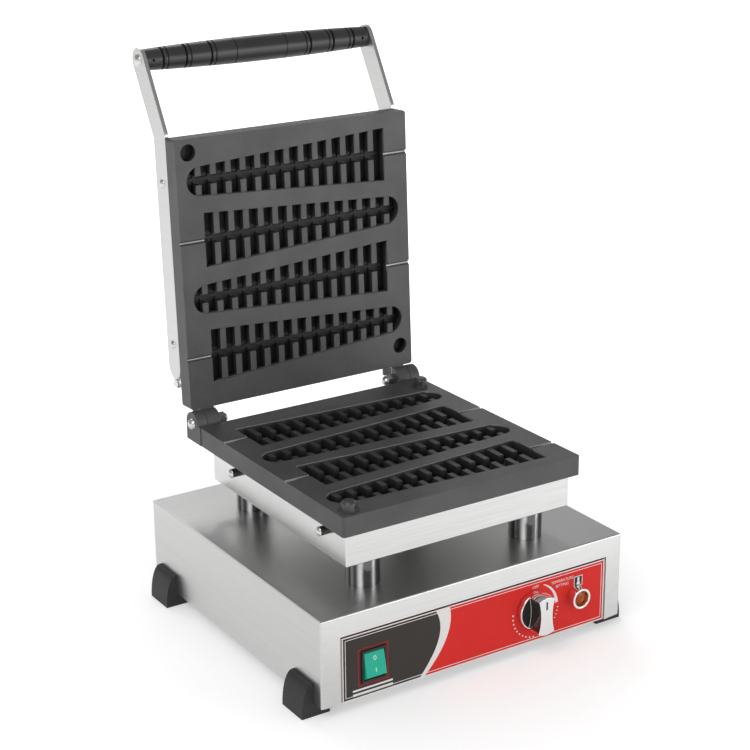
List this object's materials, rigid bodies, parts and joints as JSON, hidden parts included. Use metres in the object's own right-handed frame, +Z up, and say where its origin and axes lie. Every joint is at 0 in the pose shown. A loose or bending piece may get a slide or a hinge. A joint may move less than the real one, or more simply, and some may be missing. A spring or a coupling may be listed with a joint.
{
  "type": "stick waffle maker",
  "caption": "Counter-top stick waffle maker: steel cabinet with knob, switch and lamp, raised cast plates with fir-tree moulds, hinged lid held open by a black grip.",
  "frame": {"origin": "centre of the whole machine's footprint on the counter, lid open", "axes": "+Z up, +Y to the hinge at the back, +X to the right seen from the front"},
  "size_m": [0.3548, 0.4116, 0.5287],
  "materials": {
    "cabinet_steel": "brushed",
    "tray_steel": "brushed",
    "arm_steel": "brushed",
    "polished_steel": "polished",
    "knob_chrome": "satin chrome",
    "screw_steel": "satin",
    "cast_plate": "satin cast",
    "peg_metal": "satin",
    "heater_metal": "heat-dulled",
    "fibre_board": "matt",
    "control_label": "printed, semi-gloss",
    "black_rubber": "matt",
    "black_plastic": "satin",
    "grip_plastic": "satin",
    "rocker_green": "translucent, gloss",
    "lamp_amber": "translucent, gloss",
    "pointer_dark": "matt",
    "blade_brass": "plain",
    "capillary_copper": "plain",
    "ceramic": "matt",
    "silicone_lead": "matt"
  },
  "bodies": {
    "base": {"cabinet_shell": "cabinet_steel", "bottom_plate": "cabinet_steel", "rear_panel": "cabinet_steel", "rear_screws": "screw_steel", "front_panel": "cabinet_steel", "control_label": "control_label", "panel_clamps": "cabinet_steel", "foot_front_left": "black_rubber", "foot_front_right": "black_rubber", "foot_rear_left": "black_rubber", "foot_rear_right": "black_rubber", "foot_screws": "screw_steel", "standoff_front_left": "polished_steel", "standoff_front_right": "polished_steel", "standoff_rear_left": "polished_steel", "standoff_rear_right": "polished_steel", "standoff_bolts": "screw_steel", "standoff_nuts": "screw_steel", "heater_tray": "tray_steel", "tray_spacers": "black_plastic", "tray_screws": "screw_steel", "lower_plate": "cast_plate", "locating_pegs": "peg_metal", "lower_heater": "heater_metal", "lower_clamp_plate": "tray_steel", "lower_clamp_screws": "screw_steel", "lower_insulation": "fibre_board", "hinge_bolts": "screw_steel", "hinge_nuts": "screw_steel", "switch_housing": "black_plastic", "switch_terminals": "blade_brass", "thermostat_body": "heater_metal", "thermostat_bush_nut": "screw_steel", "thermostat_bulb": "capillary_copper", "capillary_tube": "capillary_copper", "lamp_ring": "knob_chrome", "lamp_lens": "lamp_amber", "lamp_body": "black_plastic", "terminal_block": "ceramic", "heater_leads": "silicone_lead", "mains_gland": "black_plastic", "base_lid_gland": "black_plastic"},
    "lid": {"upper_plate": "cast_plate", "lid_cover": "tray_steel", "upper_heater": "heater_metal", "upper_clamp_plate": "tray_steel", "upper_clamp_screws": "screw_steel", "upper_insulation": "fibre_board", "arm_left": "arm_steel", "arm_right": "arm_steel", "arm_screws": "screw_steel", "cover_screws": "screw_steel", "handle_grip": "grip_plastic", "handle_rod": "screw_steel", "handle_screws": "screw_steel", "lid_gland": "black_plastic"},
    "rocker": {"rocker": "rocker_green"},
    "knob": {"control_knob": "knob_chrome", "knob_pointer": "pointer_dark", "thermostat_spindle": "screw_steel"}
  },
  "joints": [
    {"name": "lid_hinge", "type": "hinge", "parent": "base", "child": "lid", "pos_m": [0, 0.11102, 0.1748], "axis": [1, 0, 0], "range_deg": [0, 92.4]},
    {"name": "rocker_pivot", "type": "hinge", "parent": "base", "child": "rocker", "pos_m": [-0.1124, -0.18228, 0.042], "axis": [1, 0, 0], "range_deg": [0, 24]},
    {"name": "knob_turn", "type": "hinge", "parent": "base", "child": "knob", "pos_m": [0.062, -0.20428, 0.0465], "axis": [0, 1, 0], "range_deg": [0, 270]}
  ]
}
